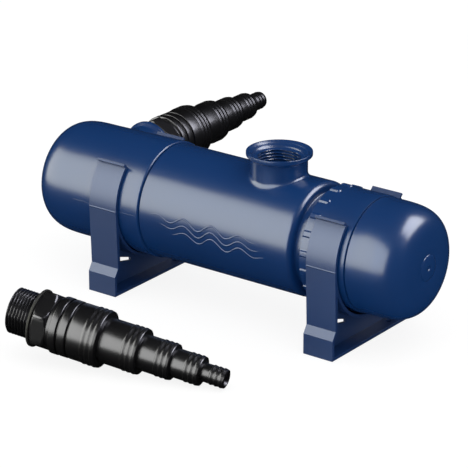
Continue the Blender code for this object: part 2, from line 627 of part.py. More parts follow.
housing = make_material("housing", (0.012, 0.035, 0.16), 0.32)
clip = make_material("clip", (0.045, 0.075, 0.20), 0.42)
black_plastic = make_material("black_plastic", (0.012, 0.012, 0.013), 0.35)
black_rubber = make_material("black_rubber", (0.015, 0.015, 0.015), 0.75)
quartz = make_material("quartz", (0.85, 0.9, 0.95), 0.05, alpha=0.35)
lamp_glass = make_material("lamp_glass", (0.9, 0.93, 0.96), 0.08, alpha=0.5)
white_plastic = make_material("white_plastic", (0.8, 0.8, 0.78), 0.4)
steel = make_material("steel", (0.6, 0.6, 0.6), 0.3, metallic=1.0)

build_main_tube(housing)
build_inlet_cap(housing)
build_sleeve_support(black_plastic)
build_collar(housing)
build_bulkhead(black_plastic)
build_cover(housing)
build_sleeve(quartz)
build_lamp(lamp_glass, white_plastic)
build_socket(white_plastic, steel)
build_electrics(black_plastic, white_plastic, steel)
build_gland(black_plastic, black_rubber)
build_seals(black_rubber)
build_sleeve_nut(black_plastic)
build_bracket("left_bracket", -BRACKET_X, clip)
build_bracket("right_bracket", BRACKET_X, clip)
rear_adapter_axis = place(INLET_X, ADAPTER_SEAT_Y - HEX_Z[0], AXIS_Z, ALONG_Y)
build_adapter("rear_hose_adapter", rear_adapter_axis, black_plastic)
build_gasket("rear_adapter_gasket", rear_adapter_axis, black_rubber)
build_adapter("loose_hose_adapter", loose_matrix(), black_plastic)
build_gasket("loose_adapter_gasket", loose_matrix(), black_rubber)
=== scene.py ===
"""Looks of the UV clarifier: fine surfaces, materials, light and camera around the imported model.

Sizes are in millimetres along the housing's own stations, and are scaled to metres where meshes are made.
The housing's axis and the middle between its two brackets are read from the frame.
"""
import math

import bmesh
import bpy
from mathutils import Matrix, Vector


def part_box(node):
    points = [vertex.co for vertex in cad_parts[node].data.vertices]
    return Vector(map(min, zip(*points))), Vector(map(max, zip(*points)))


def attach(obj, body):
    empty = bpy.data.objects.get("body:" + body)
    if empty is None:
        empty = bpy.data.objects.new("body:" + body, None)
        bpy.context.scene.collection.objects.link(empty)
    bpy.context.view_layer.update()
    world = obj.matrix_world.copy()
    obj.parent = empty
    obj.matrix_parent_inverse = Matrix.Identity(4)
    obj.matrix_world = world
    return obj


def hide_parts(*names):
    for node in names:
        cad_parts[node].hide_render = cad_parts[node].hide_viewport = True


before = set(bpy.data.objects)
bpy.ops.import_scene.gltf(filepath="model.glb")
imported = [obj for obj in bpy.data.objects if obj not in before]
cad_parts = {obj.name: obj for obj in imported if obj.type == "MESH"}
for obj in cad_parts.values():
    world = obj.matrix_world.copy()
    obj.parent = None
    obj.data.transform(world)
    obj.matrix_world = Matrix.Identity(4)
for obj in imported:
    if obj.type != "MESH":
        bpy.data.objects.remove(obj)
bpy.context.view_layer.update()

MM = 0.001


def middle(node):
    low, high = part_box(node)
    return (Vector(low) + Vector(high)) / 2


# ---- Stations read from the frame ----------------------------------------------------------------

AXIS_Y = middle("quartz_sleeve").y / MM
AXIS_Z = middle("quartz_sleeve").z / MM
MID_X = (middle("left_bracket").x + middle("right_bracket").x) / 2 / MM


def at(x, y, z, turn=Matrix.Identity(4)):
    """World matrix at housing station x, y behind the axis and height z, turned by turn."""
    return Matrix.Translation(Vector((MID_X + x, AXIS_Y + y, z)) * MM) @ turn


def low_x(node):
    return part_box(node)[0][0] / MM - MID_X


def high_x(node):
    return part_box(node)[1][0] / MM - MID_X


def high_z(node):
    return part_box(node)[1][2] / MM


ALONG_X = Matrix.Rotation(math.pi / 2, 4, "Y")
ALONG_Y = Matrix.Rotation(-math.pi / 2, 4, "X")
ON_AXIS = at(0, 0, AXIS_Z, ALONG_X)

# Driving sizes of the visible surfaces
TUBE_R = 42.0
BORE_R = 38.6
END_BORE_R = 36.2
SPIGOT_R = 39.3
TUBE_START_X = -65.8
LIP_X = 66.2
LIP_ROUND = 4.0
PORT_X = 27.9
PORT_TOP = high_z("main_tube")
PORT_NECK_R = 20.2
PORT_RIM_R = 23.65
PORT_MOUTH_R = 22.6
PORT_FUNNEL = 4.6
PORT_FILLET = 3.2
RELIEF_R = 34.8
RELIEF_BORE_R = 32.2
THREAD_R = 16.9
THREAD_DEPTH = 1.4
PITCH = 2.309
COLLAR_PITCH = 4.0
INLET_X = middle("rear_hose_adapter").x / MM - MID_X
INLET_FACE_Y = 76.0
CAP_END_X = -168.0
COVER_END_X = high_x("lamp_head_cover")
GLAND_X = middle("cable_gland_nut").x / MM - MID_X
GLAND_SEAT_Y = 42.0
GLAND_PAD_R = 9.3
STEPS_ROUND = 128


# ---- Mesh tools ----------------------------------------------------------------------------------

def finish_mesh(name, verts, faces, matrix, material, sharp_deg=35.0):
    mesh = bpy.data.meshes.new(name)
    mesh.from_pydata([tuple(v) for v in verts], [], faces)
    mesh.validate()
    obj = bpy.data.objects.new(name, mesh)
    obj.matrix_world = matrix
    bpy.context.scene.collection.objects.link(obj)
    if material is not None:
        mesh.materials.append(material)
    smooth(obj, sharp_deg)
    return obj


def smooth(obj, sharp_deg=35.0):
    obj.data.shade_smooth()
    obj.data.set_sharp_from_angle(angle=math.radians(sharp_deg))


def soften(points, radius=0.4, count=3):
    """Round every corner of an open (radius, station) profile that lies off the axis."""
    result = [points[0]]
    for before, corner, after in zip(points, points[1:], points[2:]):
        a = Vector(before) - Vector(corner)
        b = Vector(after) - Vector(corner)
        straight = a.length < 1e-6 or b.length < 1e-6 or abs(a.angle(b) - math.pi) < 0.12
        if straight:
            result.append(corner)
            continue
        cut = min(radius, 0.45 * a.length, 0.45 * b.length)
        start = Vector(corner) + a.normalized() * cut
        end = Vector(corner) + b.normalized() * cut
        for i in range(count + 1):
            t = i / count
            point = start * (1 - t) ** 2 + Vector(corner) * 2 * t * (1 - t) + end * t ** 2
            result.append((point.x, point.y))
    result.append(points[-1])
    return result


def turned(name, rows, matrix, material, steps=STEPS_ROUND, closed=None, sharp_deg=35.0):
    """Turn rows about local Z. A row is (radius, station), and either may be a function of the angle.
    Rows run down the outer side; a row of radius 0 is a pole, and a profile off the axis closes on itself."""
    verts = []
    rings = []
    for radius, station in rows:
        if radius == 0.0:
            rings.append([len(verts)])
            verts.append((0.0, 0.0, station * MM))
            continue
        ring = []
        for step in range(steps):
            angle = 2 * math.pi * step / steps
            r = radius(angle) if callable(radius) else radius
            z = station(angle) if callable(station) else station
            ring.append(len(verts))
            verts.append((r * math.cos(angle) * MM, r * math.sin(angle) * MM, z * MM))
        rings.append(ring)
    pairs = list(zip(rings, rings[1:]))
    if closed or (closed is None and len(rings[0]) > 1 and len(rings[-1]) > 1):
        pairs.append((rings[-1], rings[0]))
    faces = []
    for upper, lower in pairs:
        for j in range(steps):
            k = (j + 1) % steps
            if len(upper) == 1:
                faces.append((upper[0], lower[j], lower[k]))
            elif len(lower) == 1:
                faces.append((upper[j], lower[0], upper[k]))
            else:
                faces.append((upper[j], lower[j], lower[k], upper[k]))
    return finish_mesh(name, verts, faces, matrix, material, sharp_deg)


def combine(obj, tool, operation):
    """Apply an exact boolean and drop the tool."""
    modifier = obj.modifiers.new("Combine", "BOOLEAN")
    modifier.operation = operation
    modifier.solver = "EXACT"
    modifier.object = tool
    bake(obj)
    bpy.data.objects.remove(tool, do_unlink=True)


def bake(obj):
    bpy.context.view_layer.update()
    shaped = bpy.data.meshes.new_from_object(obj.evaluated_get(bpy.context.evaluated_depsgraph_get()))
    obj.modifiers.clear()
    obj.data = shaped


def round_edges(obj, width, segments=3, angle_deg=20.0):
    smooth(obj, 60.0)
    bevel = obj.modifiers.new("Edges", "BEVEL")
    bevel.width = width * MM
    bevel.segments = segments
    bevel.limit_method = "ANGLE"
    bevel.angle_limit = math.radians(angle_deg)
    bevel.miter_outer = "MITER_ARC"
    bevel.harden_normals = True
    bake(obj)


def arc(centre, radius, start_deg, end_deg, count):
    angles = [math.radians(start_deg + (end_deg - start_deg) * i / count) for i in range(count + 1)]
    return [(centre[0] + radius * math.cos(a), centre[1] + radius * math.sin(a)) for a in angles]


def dome(shoulder, depth, radius, power, count, side):
    """Rows of a rounded end from just past its shoulder to its pole."""
    rows = []
    for i in range(1, count + 1):
        turn = math.pi / 2 * i / count
        across = radius * math.cos(turn) ** (2 / power) if i < count else 0.0
        rows.append((across, shoulder + side * depth * math.sin(turn) ** (2 / power)))
    return rows


def thread_row(radius, depth, station, start, end, pitch=PITCH, inward=1.0, fade=1.6):
    """A row whose radius follows a helical V thread between two stations, fading in and out."""
    def at_angle(angle):
        phase = ((station - start) / pitch - angle / (2 * math.pi)) % 1.0
        wave = abs(2 * phase - 1)
        crest = min(1.0, max(0.0, (wave - 0.12) / 0.76))
        edge = min(1.0, max(0.0, (station - start) / fade), max(0.0, (end - station) / fade))
        return radius - inward * depth * crest * max(0.0, edge)
    return at_angle


# ---- Materials -----------------------------------------------------------------------------------

def moulded_plastic(name, color, roughness, grain=0.05, mottling=0.06, specular=0.5,
                    specular_tint=(1.0, 1.0, 1.0)):
    """Injection-moulded plastic: fine grain, slow flow mottling and a faint unevenness of gloss."""
    material = bpy.data.materials.new(name)
    material.use_nodes = True
    nodes = material.node_tree.nodes
    links = material.node_tree.links
    shader = nodes["Principled BSDF"]
    shader.inputs["Specular IOR Level"].default_value = specular
    shader.inputs["Specular Tint"].default_value = (*specular_tint, 1.0)
    place = nodes.new("ShaderNodeTexCoord")

    flow = nodes.new("ShaderNodeTexNoise")
    flow.inputs["Scale"].default_value = 22.0
    flow.inputs["Detail"].default_value = 5.0
    links.new(place.outputs["Object"], flow.inputs["Vector"])
    tint = nodes.new("ShaderNodeMix")
    tint.data_type = "RGBA"
    darker = [c * (1 - mottling) for c in color]
    lighter = [min(1.0, c * (1 + mottling) + 0.002) for c in color]
    tint.inputs["A"].default_value = (*darker, 1.0)
    tint.inputs["B"].default_value = (*lighter, 1.0)
    links.new(flow.outputs["Fac"], tint.inputs["Factor"])
    links.new(tint.outputs["Result"], shader.inputs["Base Color"])

    marks = nodes.new("ShaderNodeTexNoise")
    marks.inputs["Scale"].default_value = 320.0
    marks.inputs["Detail"].default_value = 3.0
    stretch = nodes.new("ShaderNodeMapping")
    stretch.inputs["Scale"].default_value = (0.12, 1.0, 1.0)
    links.new(place.outputs["Object"], stretch.inputs["Vector"])
    links.new(stretch.outputs["Vector"], marks.inputs["Vector"])
    gloss = nodes.new("ShaderNodeMapRange")
    gloss.inputs["From Min"].default_value = 0.3
    gloss.inputs["From Max"].default_value = 0.7
    gloss.inputs["To Min"].default_value = roughness - 0.008
    gloss.inputs["To Max"].default_value = roughness + 0.012
    links.new(marks.outputs["Fac"], gloss.inputs["Value"])
    links.new(gloss.outputs["Result"], shader.inputs["Roughness"])

    fine = nodes.new("ShaderNodeTexNoise")
    fine.inputs["Scale"].default_value = 2600.0
    fine.inputs["Detail"].default_value = 2.0
    links.new(place.outputs["Object"], fine.inputs["Vector"])
    bump = nodes.new("ShaderNodeBump")
    bump.inputs["Strength"].default_value = grain
    bump.inputs["Distance"].default_value = 0.00012
    links.new(fine.outputs["Fac"], bump.inputs["Height"])
    waves = nodes.new("ShaderNodeBump")
    waves.inputs["Strength"].default_value = 0.12
    waves.inputs["Distance"].default_value = 0.0003
    links.new(flow.outputs["Fac"], waves.inputs["Height"])
    links.new(waves.outputs["Normal"], bump.inputs["Normal"])
    links.new(bump.outputs["Normal"], shader.inputs["Normal"])
    return material


def rubber(name, color):
    return moulded_plastic(name, color, 0.62, grain=0.35, mottling=0.15, specular=0.3)


def clear_glass(name, tint, roughness, transmission):
    material = bpy.data.materials.new(name)
    material.use_nodes = True
    nodes = material.node_tree.nodes
    links = material.node_tree.links
    shader = nodes["Principled BSDF"]
    shader.inputs["Base Color"].default_value = (*tint, 1.0)
    shader.inputs["Transmission Weight"].default_value = transmission
    shader.inputs["IOR"].default_value = 1.46
    place = nodes.new("ShaderNodeTexCoord")
    drawn = nodes.new("ShaderNodeTexNoise")
    drawn.inputs["Scale"].default_value = 40.0
    links.new(place.outputs["Object"], drawn.inputs["Vector"])
    gloss = nodes.new("ShaderNodeMapRange")
    gloss.inputs["To Min"].default_value = roughness
    gloss.inputs["To Max"].default_value = roughness + 0.05
    links.new(drawn.outputs["Fac"], gloss.inputs["Value"])
    links.new(gloss.outputs["Result"], shader.inputs["Roughness"])
    return material


def plated_steel(name):
    material = moulded_plastic(name, (0.55, 0.55, 0.54), 0.28, mottling=0.08)
    material.node_tree.nodes["Principled BSDF"].inputs["Metallic"].default_value = 1.0
    return material


NAVY = moulded_plastic("navy_plastic", (0.0030, 0.041, 0.170), 0.26)
CLIP_BLUE = moulded_plastic("clip_plastic", (0.012, 0.045, 0.160), 0.37, grain=0.05, specular=0.42)
ADAPTER_BLACK = moulded_plastic("adapter_plastic", (0.0040, 0.0040, 0.0044), 0.29, grain=0.02, specular=0.66,
                                specular_tint=(0.86, 0.86, 1.0))
BLACK = moulded_plastic("black_plastic", (0.012, 0.012, 0.013), 0.40, grain=0.12)
POTTING = moulded_plastic("ballast_case", (0.05, 0.05, 0.052), 0.5, grain=0.2)
RUBBER = rubber("black_rubber", (0.012, 0.012, 0.012))
WHITE = moulded_plastic("white_plastic", (0.72, 0.72, 0.69), 0.36)
QUARTZ = clear_glass("quartz_glass", (0.94, 0.97, 1.0), 0.02, 0.95)
LAMP_GLASS = clear_glass("lamp_glass", (0.90, 0.93, 0.97), 0.06, 0.75)
STEEL = plated_steel("plated_steel")


# ---- Housing tube --------------------------------------------------------------------------------

PATCH = 32          # divisions along each side of the square patch around the port
REST = 64           # divisions round the rest of the tube
PATCH_SINE = math.sin(math.radians(43.7))


class TubeMesh:
    """Collects the tube's outer and inner skins, each with a hole for the port, into one closed mesh."""

    def __init__(self):
        self.verts = []
        self.faces = []

    def add(self, x, y, z):
        self.verts.append((x * MM, y * MM, z * MM))
        return len(self.verts) - 1

    def band(self, first, second, flip=False):
        """Quads between two rings of equal length."""
        count = len(first)
        for j in range(count):
            k = (j + 1) % count
            quad = (first[j], first[k], second[k], second[j])
            self.faces.append(tuple(reversed(quad)) if flip else quad)

    def ring_angles(self):
        """Angles from the top, port patch first, increasing towards +Y."""
        slopes = [math.tan(math.radians(-45 + 90 * k / PATCH)) for k in range(PATCH + 1)]
        patch = [math.asin(PATCH_SINE * slope) for slope in slopes]
        span = 2 * math.pi - 2 * patch[-1]
        rest = [patch[-1] + span * k / REST for k in range(1, REST)]
        return patch + rest

    def ring(self, x, radius):
        """A ring of vertices about the housing axis."""
        return [self.add(x, radius(a) * math.sin(a) if callable(radius) else radius * math.sin(a),
                         AXIS_Z + (radius(a) if callable(radius) else radius) * math.cos(a))
                for a in self.ring_angles()]

    def skin(self, radius, hole_r, left, right, flip):
        """One tube wall between two stations, with its port hole; returns its end rings and hole ring."""
        half = radius * PATCH_SINE
        columns = [PORT_X + half * math.tan(math.radians(-45 + 90 * k / PATCH)) for k in range(PATCH + 1)]
        count_left = 14
        lead = [left + (columns[0] - left) * k / count_left for k in range(count_left)]
        tail = [columns[-1] + (right - columns[-1]) * k / 2 for k in range(1, 3)]
        rings = [self.ring(x, radius) for x in lead + columns + tail]
        first = len(lead)
        total = PATCH + REST
        for i in range(len(rings) - 1):
            inside = first <= i < first + PATCH
            for j in range(total):
                if inside and j < PATCH:
                    continue
                k = (j + 1) % total
                quad = (rings[i][j], rings[i + 1][j], rings[i + 1][k], rings[i][k])
                self.faces.append(tuple(reversed(quad)) if flip else quad)
        edge = [rings[first][j] for j in range(PATCH)]
        edge += [rings[first + i][PATCH] for i in range(PATCH)]
        edge += [rings[first + PATCH][PATCH - j] for j in range(PATCH)]
        edge += [rings[first + PATCH - i][0] for i in range(PATCH)]
        loops = [edge]
        layers = 8
        for layer in range(1, layers + 1):
            t = layer / layers
            loop = []
            for index in edge:
                x, y, _ = (value / MM for value in self.verts[index])
                across = math.hypot(x - PORT_X, y)
                scale = (1 - t) + t * hole_r / across
                px, py = PORT_X + (x - PORT_X) * scale, y * scale
                loop.append(self.add(px, py, AXIS_Z + math.sqrt(radius ** 2 - py ** 2)))
            loops.append(loop)
        for outer, inner in zip(loops, loops[1:]):
            self.band(outer, inner, flip=not flip)
        return rings[0], rings[-1], loops[-1]

    def port_ring(self, template, radius, height):
        """A ring about the port's axis, in step with a hole ring; both sizes may depend on the angle."""
        ring = []
        for index in template:
            x, y, _ = (value / MM for value in self.verts[index])
            angle = math.atan2(y, x - PORT_X)
            r = radius(angle) if callable(radius) else radius
            z = height(angle) if callable(height) else height
            ring.append(self.add(PORT_X + r * math.cos(angle), r * math.sin(angle), z))
        return ring


def build_main_tube():
    tube = TubeMesh()
    hole_r = PORT_NECK_R + PORT_FILLET
    left, right, hole = tube.skin(TUBE_R, hole_r, TUBE_START_X + 0.5, LIP_X - LIP_ROUND, flip=False)
    in_left, in_right, in_hole = tube.skin(BORE_R, THREAD_R, -58.0, 58.0, flip=True)

    # Right end: rounded lip, recessed spigot with its coarse thread, and the bore's mouth
    rows = arc((TUBE_R - LIP_ROUND, LIP_X - LIP_ROUND), LIP_ROUND, 0, 90, 10)[1:]
    spigot_end = high_x("main_tube")
    thread_start, thread_end = 76.0, 95.0
    narrow_start, narrow_end = 64.0, 77.0
    rows += [(RELIEF_R + 0.3, LIP_X), (RELIEF_R, LIP_X + 0.3), (RELIEF_R, thread_start - 1.1),
             (SPIGOT_R, thread_start - 0.4)]
    count = 64
    for i in range(count + 1):
        station = thread_start + (thread_end - thread_start) * i / count
        rows.append((thread_row(SPIGOT_R, 1.1, station, thread_start, thread_end, pitch=COLLAR_PITCH), station))
    rows += [(SPIGOT_R, spigot_end - 0.9), (SPIGOT_R - 0.8, spigot_end), (END_BORE_R + 0.8, spigot_end),
             (END_BORE_R, spigot_end - 0.9), (END_BORE_R, narrow_end + 0.8), (RELIEF_BORE_R, narrow_end),
             (RELIEF_BORE_R, narrow_start), (BORE_R, narrow_start - 3.0)]
    last = right
    for radius, station in rows:
        ring = tube.ring(station, radius)
        tube.band(last, ring, flip=True)
        last = ring
    tube.band(last, in_right, flip=True)

    # Left end: small chamfer, spigot inside the cap with the seal's groove, and the bore's mouth
    spigot = SPIGOT_R + 0.3
    groove, tip = -80.0, -92.0
    rows = [(TUBE_R - 0.5, TUBE_START_X), (spigot, TUBE_START_X), (spigot, groove + 1.3),
            (spigot - 1.9, groove + 1.3), (spigot - 1.9, groove - 1.3), (spigot, groove - 1.3),
            (spigot, tip + 0.6), (spigot - 0.6, tip), (END_BORE_R, tip), (END_BORE_R, -61.0)]
    last = left
    for radius, station in rows:
        ring = tube.ring(station, radius)
        tube.band(last, ring)
        last = ring
    tube.band(last, in_left)

    # Port: fillet off the tube, neck, flange, funnel mouth, thread and bore
    def surface(radius):
        return lambda angle: AXIS_Z + math.sqrt(TUBE_R ** 2 - (radius * math.sin(angle)) ** 2)

    def fillet_height(t):
        def height(angle):
            low, knee = surface(hole_r)(angle), surface(PORT_NECK_R)(angle)
            return low * (1 - t) ** 2 + knee * 2 * t * (1 - t) + (knee + PORT_FILLET) * t ** 2
        return height

    last = hole
    fillet_steps = 9
    for i in range(1, fillet_steps + 1):
        t = i / fillet_steps
        ring = tube.port_ring(hole, PORT_NECK_R + PORT_FILLET * (1 - t) ** 2, fillet_height(t))
        tube.band(last, ring)
        last = ring
    neck_low = AXIS_Z + TUBE_R + PORT_FILLET + 1.0
    profile = soften([(PORT_NECK_R, neck_low), (PORT_NECK_R, PORT_TOP - 5.4), (PORT_RIM_R, PORT_TOP - 2.8),
                      (PORT_RIM_R, PORT_TOP), (PORT_MOUTH_R, PORT_TOP), (PORT_MOUTH_R - 0.7, PORT_TOP - 0.6)],
                     0.45, 3)[:-1]
    rows_per_turn = 8
    thread_top, thread_low = PORT_TOP - 0.6, PORT_TOP - 17.5
    count = int((thread_top - thread_low) / PITCH * rows_per_turn)
    for i in range(count + 1):
        station = thread_top - (thread_top - thread_low) * i / count
        open_by = max(0.0, 1.0 - (PORT_TOP - station) / PORT_FUNNEL)
        radius = THREAD_R + (PORT_MOUTH_R - THREAD_R) * open_by
        depth = THREAD_DEPTH * (0.35 if open_by > 0.0 else 1.0)
        profile.append((thread_row(radius, depth, station, thread_low, thread_top, fade=1.2), station))
    profile.append((THREAD_R, thread_low - 1.0))
    for radius, station in profile:
        ring = tube.port_ring(hole, radius, station)
        tube.band(last, ring)
        last = ring
    tube.band(last, in_hole)
    shape = finish_mesh("housing_tube", tube.verts, tube.faces, at(0, 0, 0), NAVY, 32.0)
    claim(shape, "housing", "housing", "main_tube")


def claim(piece, body, slot, *nodes):
    """Bake a piece's place into its mesh, then hide the CAD nodes it stands for and set its body; the slot is
    not used.
    """
    piece.data.transform(piece.matrix_world)
    piece.matrix_world = Matrix.Identity(4)
    if nodes:
        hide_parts(*nodes)
    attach(piece, body)
    return piece


def build_wave_relief():
    """Three raised wave lines on the tube's front, of no particular mark."""
    start_x, end_x = -57.0, 46.0
    for line in range(3):
        curve = bpy.data.curves.new(f"wave_relief_{line}", "CURVE")
        curve.dimensions = "3D"
        curve.bevel_depth = 0.8 * MM
        curve.bevel_resolution = 3
        curve.use_fill_caps = True
        spline = curve.splines.new("POLY")
        count = 72
        spline.points.add(count)
        begin = start_x + 9.0 * line
        finish = end_x - 4.0 * (2 - line)
        for i, point in enumerate(spline.points):
            t = i / count
            x = begin + (finish - begin) * t
            swell = math.sin(math.pi * t) ** 0.6
            rise = 3.4 * swell * math.sin(2 * math.pi * (x - start_x) / 25.0) + 4.0 - 5.0 * line
            angle = math.radians(-90.0) + rise / TUBE_R
            radius = TUBE_R - 0.35
            point.co = ((MID_X + x) * MM, (AXIS_Y + radius * math.sin(angle)) * MM,
                        (AXIS_Z + radius * math.cos(angle)) * MM, 1.0)
            point.radius = 0.35 + 0.65 * swell
        obj = bpy.data.objects.new(f"wave_relief_{line}", curve)
        bpy.context.scene.collection.objects.link(obj)
        curve.materials.append(NAVY)
        claim(obj, "housing", "housing")


# ---- Inlet cap -----------------------------------------------------------------------------------

def build_inlet_cap():
    open_x = high_x("inlet_end_cap")
    rim_r, shoulder_r, shoulder_x = 43.5, 42.3, -130.5
    depth = shoulder_x - CAP_END_X
    edge = 1.3
    rows = [(0.0, open_x)] + arc((rim_r - edge, open_x - edge), edge, 90, 0, 7)
    slices = 12
    for i in range(1, slices + 1):
        t = i / slices
        rows.append((rim_r + (shoulder_r - rim_r) * t, open_x - edge + (shoulder_x - open_x + edge) * t))
    rows += dome(shoulder_x, depth, shoulder_r, 4.1, 30, -1)
    cap = turned("inlet_cap", rows, ON_AXIS, NAVY)
    axis = at(INLET_X, 0, AXIS_Z, ALONG_Y)
    face = INLET_FACE_Y
    neck_r, lip_r = 18.8, 21.5
    neck = soften([(0.0, face), (lip_r, face), (lip_r, face - 2.8), (neck_r, face - 5.4), (neck_r, 42.5),
                   (20.0, 40.0), (21.3, 38.0), (21.3, 34.0), (18.9, 26.0), (18.0, 18.0), (0.0, 18.0)], 0.7)
    combine(cap, turned("tool_neck", neck, axis, NAVY), "UNION")
    inside_r = 38.1
    inner = [(0.0, open_x + 6), (39.9, open_x + 6), (39.9, -92.4), (inside_r, -92.4), (inside_r, shoulder_x)]
    inner += dome(shoulder_x, depth - 3.2, inside_r, 4.1, 16, -1)
    combine(cap, turned("tool_inside", inner, ON_AXIS, NAVY, steps=96), "DIFFERENCE")
    bore = [(0.0, 90.0), (18.0, 90.0), (18.0, face - 0.6), (16.9, face - 2.0), (16.9, 55.0), (15.0, 53.0),
            (15.0, 10.0), (0.0, 10.0)]
    combine(cap, turned("tool_bore", bore, axis, NAVY, steps=96), "DIFFERENCE")
    smooth(cap, 32.0)
    claim(cap, "housing", "housing", "inlet_end_cap")


def build_parting_lines():
    """The mould's faint parting ridge along the front and back of the cap."""
    for side, label in ((-1, "front"), (1, "back")):
        curve = bpy.data.curves.new(f"cap_parting_{label}", "CURVE")
        curve.dimensions = "3D"
        curve.bevel_depth = 0.16 * MM
        curve.bevel_resolution = 2
        curve.use_fill_caps = True
        spline = curve.splines.new("POLY")
        count = 12
        spline.points.add(count)
        for i, point in enumerate(spline.points):
            x = -68.0 - 58.0 * i / count
            radius = 43.5 - 1.2 * (-x - 67.5) / 63.0 - 0.04
            point.co = ((MID_X + x) * MM, (AXIS_Y + side * radius) * MM, AXIS_Z * MM, 1.0)
        obj = bpy.data.objects.new(f"cap_parting_{label}", curve)
        bpy.context.scene.collection.objects.link(obj)
        curve.materials.append(NAVY)
        claim(obj, "housing", "housing")


# ---- Lamp head -----------------------------------------------------------------------------------

RIBS = 19
RIB_PHASE = math.radians(15.7)
RIB_HALF_WIDTH = 2.35
RIB_PROUD = 1.0


def rib_height(angle, station, start, end):
    """Height of the grip ribs over the collar at an angle and station; each rib ends in a half circle."""
    turn = ((angle - RIB_PHASE) * RIBS / (2 * math.pi) + 0.5) % 1.0
    across = abs(turn - 0.5) * 2 * math.pi * TUBE_R / RIBS
    beyond = max(0.0, station - (end - RIB_HALF_WIDTH))
    side = min(1.0, max(0.0, (RIB_HALF_WIDTH - math.hypot(across, beyond)) / 0.9))
    lead = min(1.0, max(0.0, (station - start) / 0.6))
    return RIB_PROUD * side * side * (3 - 2 * side) * lead


def build_collar():
    start, end = low_x("locking_collar"), high_x("locking_collar")
    flange = 104.2
    lip_r = 36.4
    rows = [(lip_r, end - 0.4), (lip_r + 0.4, end), (TUBE_R - 0.6, end), (TUBE_R - 0.15, end - 0.2),
            (TUBE_R, end - 0.7)]
    rib_end = start + 9.3
    rows += [(TUBE_R, end - 10.0), (TUBE_R, rib_end + 6.0)]
    count = 36
    for i in range(count + 1):
        station = rib_end + 0.6 - (rib_end - start) * i / count
        rows.append((lambda a, s=station: TUBE_R + rib_height(a, s, start + 0.4, rib_end), station))
    rows += [(TUBE_R - 0.2, start + 0.15), (TUBE_R - 0.6, start), (39.9, start), (39.7, start + 0.3)]
    thread_start, thread_end = 77.0, 96.0
    count = 48
    for i in range(count + 1):
        station = thread_start + (thread_end - thread_start) * i / count
        groove = thread_row(39.7, 0.9, station, thread_start, thread_end, pitch=COLLAR_PITCH, inward=-1.0)
        rows.append((groove, station))
    rows += [(39.7, flange), (lip_r, flange)]
    collar = turned("collar", rows, ON_AXIS, NAVY, steps=RIBS * 28, sharp_deg=40.0)
    claim(collar, "collar", "housing", "locking_collar")


def build_cover():
    start = low_x("lamp_head_cover")
    seam = 112.4
    shoulder_x, shoulder_r, power = 114.0, 41.4, 4.3
    end = COVER_END_X - 0.6
    front = [row for row in reversed(dome(shoulder_x, end - shoulder_x, shoulder_r, power, 40, 1))
             if row[0] > 11.5]
    button = [(0.0, end - 0.1), (1.3, end - 0.1), (1.7, end + 0.4), (2.2, end + 0.6), (3.6, end + 0.58),
              (6.2, end + 0.44), (8.3, end + 0.2), (9.2, end - 0.1), (9.5, end - 0.4), (10.2, end - 0.4)]
    rows = button + front
    rows += [(shoulder_r, shoulder_x), (41.6, seam + 0.9), (41.5, seam + 0.45), (41.2, seam + 0.12),
             (40.7, seam), (36.0, seam), (36.0, start), (0.0, start)]
    cover = turned("head_cover", rows, ON_AXIS, NAVY, steps=160)
    axis = at(GLAND_X, GLAND_SEAT_Y, AXIS_Z, ALONG_Y)
    pad = soften([(0.0, 0.0), (GLAND_PAD_R, 0.0), (GLAND_PAD_R, -8.5), (0.0, -8.5)], 0.5)
    combine(cover, turned("tool_pad", pad, axis, NAVY, steps=64), "UNION")
    inner = [(0.0, end - 3.0)] + list(reversed(dome(118.0, end - 3.0 - 118.0, 38.4, 3.6, 14, 1)[:-1]))
    inner += [(38.4, 118.0), (33.0, 113.0), (33.0, 90.0), (0.0, 90.0)]
    combine(cover, turned("tool_inside", inner, ON_AXIS, NAVY, steps=96), "DIFFERENCE")
    hole = [(0.0, 18.0), (6.4, 18.0), (6.4, -22.0), (0.0, -22.0)]
    combine(cover, turned("tool_hole", hole, axis, NAVY, steps=48), "DIFFERENCE")
    smooth(cover, 30.0)
    claim(cover, "lamp_head", "housing", "lamp_head_cover")


def hexagon(flat_r, chamfer=None):
    """Radius of a hexagon at an angle, optionally cut by a round chamfer."""
    def radius(angle):
        within = (angle + math.pi / 6) % (math.pi / 3) - math.pi / 6
        r = flat_r / math.cos(within)
        return min(r, chamfer) if chamfer else r
    return radius


def build_gland():
    axis = at(GLAND_X, GLAND_SEAT_Y, AXIS_Z, ALONG_Y)
    flat = 8.66
    body = [(5.2, 14.0), (6.9, 14.0), (7.4, 13.4)]
    body += [(thread_row(7.4, 0.6, s / 4, 5.8, 13.6, pitch=1.5), s / 4) for s in range(53, 23, -1)]
    edge, chamfer = hexagon(flat, flat + 0.3), hexagon(flat, flat + 1.0)
    body += [(7.4, 5.7), (edge, 5.6), (chamfer, 4.9), (hexagon(flat), 4.2), (hexagon(flat), 1.6),
             (chamfer, 0.9), (edge, 0.4), (6.1, 0.4), (6.0, -7.6), (5.6, -8.0), (4.2, -8.0), (4.2, 9.0),
             (5.2, 9.0)]
    piece = turned("gland_body", body, axis, BLACK, steps=96)
    claim(piece, "lamp_head", "black_plastic", "cable_gland_body")

    def grip(radius):
        return lambda angle: radius + 0.25 * math.cos(angle * 24)
    nut = [(3.6, 18.6), (4.0, 19.0), (5.4, 19.0), (6.4, 18.4), (7.4, 17.4), (8.1, 16.3), (grip(8.3), 15.6),
           (grip(8.5), 14.8), (grip(8.5), 7.2), (grip(8.3), 6.6), (8.1, 6.3), (7.8, 6.3),
           (7.8, 16.0), (3.6, 16.0)]
    piece = turned("gland_nut", nut, axis, BLACK, steps=192)
    claim(piece, "lamp_head", "black_plastic", "cable_gland_nut")


